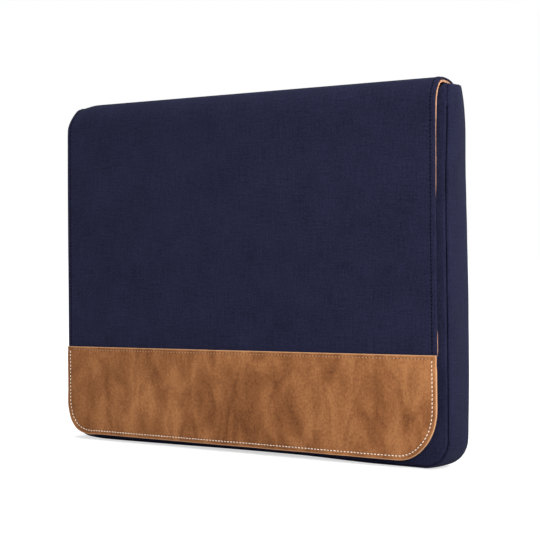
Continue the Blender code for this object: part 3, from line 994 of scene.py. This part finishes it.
def build_band():
    up_to_row = (0.0003, 0.0007, 0.0012, 0.0017, 0.0022, 0.0026)
    past_row = (0.0032, 0.0037, 0.0044, 0.0055, 0.0075, 0.010)
    rings = [(0.0, 0.0004), (0.0001, 0.00012)] + flat((*up_to_row, BAND_ROW, *past_row))
    near_top = (0.0001, 0.0004, 0.0008, 0.0014, 0.0019, BAND_TOP_ROW, 0.0029, 0.0035, 0.0045, 0.0060)
    rows = [(BAND_HEIGHT, 0.0004)] + flat(BAND_HEIGHT - down for down in near_top)
    rows += flat(spread(BAND_HEIGHT - 0.008, FLAP_CORNER[1], 0.0026))
    grid = sheet_grid(HALF_FLAP + 0.0003, rows, rings, 130, FLAP_CORNER)
    band = laid_sheet("band", grid, band_place, BAND_LOOK, "leather_band")
    # distance from the band's edge, which sets where its painted edge highlight falls
    edges = [min(inset, (BAND_HEIGHT - height) * 1.3) for _, height, inset, _ in grid[0]]
    band.data.attributes["from_edge"].data.foreach_set("value", np.asarray(edges, np.float32))
    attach(band, "flap")

    top = BAND_HEIGHT - BAND_TOP_ROW
    spots = tip_path(HALF_FLAP, FLAP_CORNER, BAND_ROW, top)
    line = line_on(lambda x, height, inset, drop: band_place(x, height, BAND_ROW, drop), spots)
    shape = {"length": 0.0018, "radius": 0.00033, "hole_shade_radius": 0.00034}
    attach(stitch_row("band_stitches", line, CREAM, "band_thread", **shape), "flap")
    spots = [(x, top) for x in spread(-HALF_FLAP + BAND_ROW + 0.002, HALF_FLAP - BAND_ROW - 0.002, 0.001)]
    line = line_on(band_place, spots)
    shape = {"length": 0.0017, "radius": 0.00024, "hole_shade_radius": 0.00040}
    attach(stitch_row("band_top_stitches", line, TAN, "band_top_thread", **shape), "flap")


def build_flap_stitches():
    place, shape = flap_place(0.0), {"pitch": SIDE_PITCH, "length": 0.0016, "hole_shade_radius": 0.00052}
    for side, hand in ((-1, "left"), (1, "right")):
        x = side * (HALF_FLAP - SIDE_ROW)
        face = [(x, height) for height in spread(FLAP_END - SPLIT_ALONG - 0.0005, BAND_HEIGHT + 0.001, 0.001)]
        line = line_on(place, face)
        blend_front(stitch_row(f"side_stitches_{hand}", line, NAVY, f"flap_thread_{hand}", **shape))
        rear = [(x, FLAP_END - along) for along in spread(0.004, SPLIT_ALONG - 0.0005, 0.001)]
        blend_rear(stitch_row(f"rear_side_stitches_{hand}", line_on(place, rear), NAVY, **shape))
    for along, name in ((TAIL_ROW, "lower"), (BODY_TOP - TAIL_LOW - TAIL_ROW, "upper")):
        spots = [(x, FLAP_END - along) for x in spread(-HALF_FLAP + SIDE_ROW, HALF_FLAP - SIDE_ROW, 0.002)]
        row = stitch_row(f"tail_stitches_{name}", line_on(place, spots), NAVY, f"tail_thread_{name}")
        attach(row, "body")


# -------- the closure

# (inset, out) from a patch's edge inwards: up its cut edge, over, and down into its stitch row
PATCH_ROW = 0.0018
CUT_EDGE = ((0.0, 0.0), (0.0, 0.00045), (0.0003, 0.0006), (0.0012, 0.00055))
PATCH_PROFILE = (*CUT_EDGE, (PATCH_ROW, 0.00045), (0.0024, 0.0006))


def outline_loop(half_x, half_z, corner):
    """Spots (x, z) round a small rectangle with round corners."""
    arcs = []
    for turn, (side_x, side_z) in enumerate(((1, 1), (-1, 1), (-1, -1), (1, -1))):
        centre_x, centre_z = side_x * (half_x - corner), side_z * (half_z - corner)
        angles = [(turn + i / 4) * pi / 2 for i in range(5)]
        arcs.append([(centre_x + corner * cos(angle), centre_z + corner * sin(angle)) for angle in angles])
    loop = []
    for arc, following in zip(arcs, arcs[1:] + arcs[:1]):
        (start_x, start_z), (end_x, end_z) = arc[-1], following[0]
        straight = [i / 8 for i in range(1, 8)]
        loop += arc
        loop += [(start_x + (end_x - start_x) * i, start_z + (end_z - start_z) * i) for i in straight]
    return loop


def on_front(x, z, out):
    return front_place(-out)(x, z, 0.03, 0.0)


def inside_flap(x, z, out):
    return flap_point(x, FLAP_END - (z - FLAP_LOW), SUEDE_DEPTH + SUEDE + out)


def build_patch(kind, hand, material, place, body):
    """A patch of tape, sewn round its edge."""
    node = f"{kind}_patch_{hand}"
    low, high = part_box(node)
    middle_x, middle_z = (low.x + high.x) / 2, (low.z + high.z) / 2
    half_x, half_z = (high.x - low.x) / 2, (high.z - low.z) / 2
    outline = outline_loop(half_x, half_z, 0.0015)
    spots, faces = [], []
    for inset, out in PATCH_PROFILE:
        for x, z in outline:
            spots.append((middle_x + x * (1 - inset / half_x), middle_z + z * (1 - inset / half_z), out))
    size = len(outline)
    innermost = size * (len(PATCH_PROFILE) - 1)
    for ring in range(0, innermost, size):
        for i in range(size):
            a, b = ring + i, ring + (i + 1) % size
            faces.append((a, b, b + size, a + size))
    faces.append(tuple(range(innermost, innermost + size)))
    if kind == "loop":
        faces = [face[::-1] for face in faces]
    uvs = [(x + 1, z + 1) for x, z, _ in spots]
    patch = add_mesh(f"{kind}_tape_{hand}", [place(*spot) for spot in spots], faces, uvs)
    patch.data.materials.append(material)
    finish_piece(patch, f"{kind}_tape", node)
    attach(patch, body)

    path = outline_loop(half_x - PATCH_ROW, half_z - PATCH_ROW, 0.0012)
    line = []
    for x, z in path + path[:1]:
        point = place(middle_x + x, middle_z + z, 0.00045)
        line.append((point, (place(middle_x + x, middle_z + z, 0.0010) - point).normalized()))
    name = f"{kind}_tape_stitches_{hand}"
    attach(stitch_row(name, line, NAVY, pitch=0.0024, length=0.0016, radius=0.00022), body)


def build_patches():
    """The closure: hook tape on the front and loop tape inside the flap."""
    for hand in ("left", "right"):
        build_patch("hook", hand, HOOK_TAPE, on_front, "body")
        build_patch("loop", hand, LOOP_TAPE, inside_flap, "flap")


# -------- camera, light and floor

def build_camera():
    camera = bpy.data.objects.new("Camera", bpy.data.cameras.new("Camera"))
    camera.data.sensor_width = 36
    camera.data.lens = 100.35
    camera.data.clip_start, camera.data.clip_end = 0.05, 60
    camera.location = (0.6526, -0.8698, 0.1417)
    aim = Euler((pi / 2 - radians(0.58), 0, radians(36.10))).to_matrix()
    camera.rotation_euler = (aim @ Matrix.Rotation(radians(-0.23), 3, "Z")).to_euler()
    bpy.context.scene.collection.objects.link(camera)
    bpy.context.scene.camera = camera


def area_light(name, place, aim, size, power):
    light = bpy.data.objects.new(name, bpy.data.lights.new(name, "AREA"))
    light.data.shape = "DISK"
    light.data.size = size
    light.data.energy = power
    light.location = place
    light.rotation_euler = (Vector(aim) - Vector(place)).to_track_quat("-Z", "Y").to_euler()
    bpy.context.scene.collection.objects.link(light)


def build_stage():
    world = bpy.data.worlds.new("Studio")
    world.use_nodes = True
    tree = world.node_tree
    soft = tree.nodes["Background"]
    soft.inputs["Color"].default_value = (0.93, 0.96, 1.0, 1)
    soft.inputs["Strength"].default_value = 0.40
    seen = tree.nodes.new("ShaderNodeBackground")
    seen.inputs["Color"].default_value = (1, 1, 1, 1)
    path, choice = tree.nodes.new("ShaderNodeLightPath"), tree.nodes.new("ShaderNodeMixShader")
    tree.links.new(path.outputs["Is Camera Ray"], choice.inputs["Fac"])
    tree.links.new(soft.outputs["Background"], choice.inputs[1])
    tree.links.new(seen.outputs["Background"], choice.inputs[2])
    tree.links.new(choice.outputs["Shader"], tree.nodes["World Output"].inputs["Surface"])
    bpy.context.scene.world = world
    bpy.context.scene.view_settings.view_transform = "Standard"

    area_light("Key", (1.04, -0.66, 0.58), (0.02, 0, 0.13), 0.6, 19)
    area_light("Fill", (-1.3, -1.3, 0.7), (0, 0, 0.12), 1.2, 4)
    area_light("Back", (0.2, 1.5, 0.9), (0, 0, 0.12), 1.0, 8)
    overhead = bpy.data.objects.new("Overhead", bpy.data.lights.new("Overhead", "SUN"))
    overhead.data.energy = 1.5
    overhead.data.angle = radians(40)
    bpy.context.scene.collection.objects.link(overhead)

    floor_mesh = bpy.data.meshes.new("Floor")
    floor_mesh.from_pydata([(-30, -30, 0), (30, -30, 0), (30, 30, 0), (-30, 30, 0)], [], [(0, 1, 2, 3)])
    floor = bpy.data.objects.new("Floor", floor_mesh)
    floor.location.z = -0.0002
    bpy.context.scene.collection.objects.link(floor)
    n = Nodes("pale_floor")
    n.finish((0.60, 0.60, 0.60), 0.9, specular=0.0)
    n.shader.inputs["Emission Color"].default_value = (1, 1, 1, 1)
    n.link(n.math("MULTIPLY", n.tree.nodes.new("ShaderNodeLightPath").outputs["Is Camera Ray"], 0.62),
           n.shader.inputs["Emission Strength"])
    floor_mesh.materials.append(n.material)


build_front()
build_back()
build_gusset()
build_flap_layers()
build_band()
build_flap_stitches()
build_patches()
build_camera()
build_stage()
